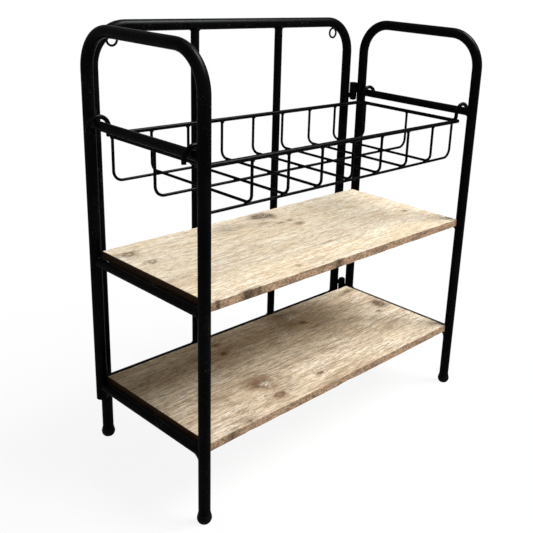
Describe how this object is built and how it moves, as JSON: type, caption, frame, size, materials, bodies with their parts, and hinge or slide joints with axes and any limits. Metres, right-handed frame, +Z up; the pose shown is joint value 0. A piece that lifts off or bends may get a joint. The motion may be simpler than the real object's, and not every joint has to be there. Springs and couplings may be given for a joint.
{
  "type": "bakers rack",
  "caption": "Small black tubular steel rack with hinged side frames, wooden shelf boards and a lift-off wire basket hooked over side bars",
  "frame": {"origin": "on the floor under the middle of the rack's outline", "axes": "+X to the right seen from the front, +Y to the back, +Z up"},
  "size_m": [0.582, 0.2796, 0.621],
  "materials": {
    "black_tube": "satin black powder coat with slight wear",
    "black_wire": "satin black paint on round wire",
    "fir_board": "pale bleached fir with knots, unvarnished",
    "rubber_foot": "matt black moulded rubber"
  },
  "bodies": {
    "back_frame": {"back_hoop": "black_tube", "back_rail": "black_tube", "left_back_upright": "black_tube", "left_hanging_ring": "black_tube", "left_back_foot": "rubber_foot", "left_upper_hinge_pin": "black_tube", "left_lower_hinge_pin": "black_tube", "right_back_upright": "black_tube", "right_hanging_ring": "black_tube", "right_back_foot": "rubber_foot", "right_upper_hinge_pin": "black_tube", "right_lower_hinge_pin": "black_tube"},
    "left_side": {"left_side_hoop": "black_tube", "left_basket_bar": "black_tube", "left_upper_rail": "black_tube", "left_lower_rail": "black_tube", "left_front_foot": "rubber_foot", "left_upper_hinge_sleeve": "black_tube", "left_lower_hinge_sleeve": "black_tube", "left_upper_tab_front": "black_tube", "left_upper_tab_rear": "black_tube", "left_lower_tab_front": "black_tube", "left_lower_tab_rear": "black_tube"},
    "right_side": {"right_side_hoop": "black_tube", "right_basket_bar": "black_tube", "right_upper_rail": "black_tube", "right_lower_rail": "black_tube", "right_front_foot": "rubber_foot", "right_upper_hinge_sleeve": "black_tube", "right_lower_hinge_sleeve": "black_tube", "right_upper_tab_front": "black_tube", "right_upper_tab_rear": "black_tube", "right_lower_tab_front": "black_tube", "right_lower_tab_rear": "black_tube"},
    "basket": {"left_basket_end": "black_wire", "left_front_hook": "black_wire", "left_rear_hook": "black_wire", "right_basket_end": "black_wire", "right_front_hook": "black_wire", "right_rear_hook": "black_wire", "basket_rim_front": "black_wire", "basket_rim_rear": "black_wire", "basket_long_wire_front": "black_wire", "basket_long_wire_middle": "black_wire", "basket_long_wire_rear": "black_wire", "basket_cross_wire_1": "black_wire", "basket_cross_wire_2": "black_wire", "basket_cross_wire_3": "black_wire", "basket_cross_wire_4": "black_wire", "basket_cross_wire_5": "black_wire", "basket_cross_wire_6": "black_wire", "basket_cross_wire_7": "black_wire"},
    "upper_board": {"upper_board": "fir_board"},
    "lower_board": {"lower_board": "fir_board"}
  },
  "joints": [
    {"name": "left_fold", "type": "hinge", "parent": "back_frame", "child": "left_side", "pos_m": [-0.26389, 0.11879, 0.3], "axis": [0, 0, 1], "range_deg": [-0.2, 0.2]},
    {"name": "right_fold", "type": "hinge", "parent": "back_frame", "child": "right_side", "pos_m": [0.26389, 0.11879, 0.3], "axis": [0, 0, -1], "range_deg": [-0.2, 0.2]},
    {"name": "basket_lift", "type": "slide", "parent": "back_frame", "child": "basket", "axis": [0, 0, 1], "range_m": [0, 0.075]},
    {"name": "upper_board_slide", "type": "slide", "parent": "back_frame", "child": "upper_board", "axis": [0, -1, 0], "range_m": [0, 0.26]},
    {"name": "lower_board_slide", "type": "slide", "parent": "back_frame", "child": "lower_board", "axis": [0, -1, 0], "range_m": [0, 0.26]}
  ]
}
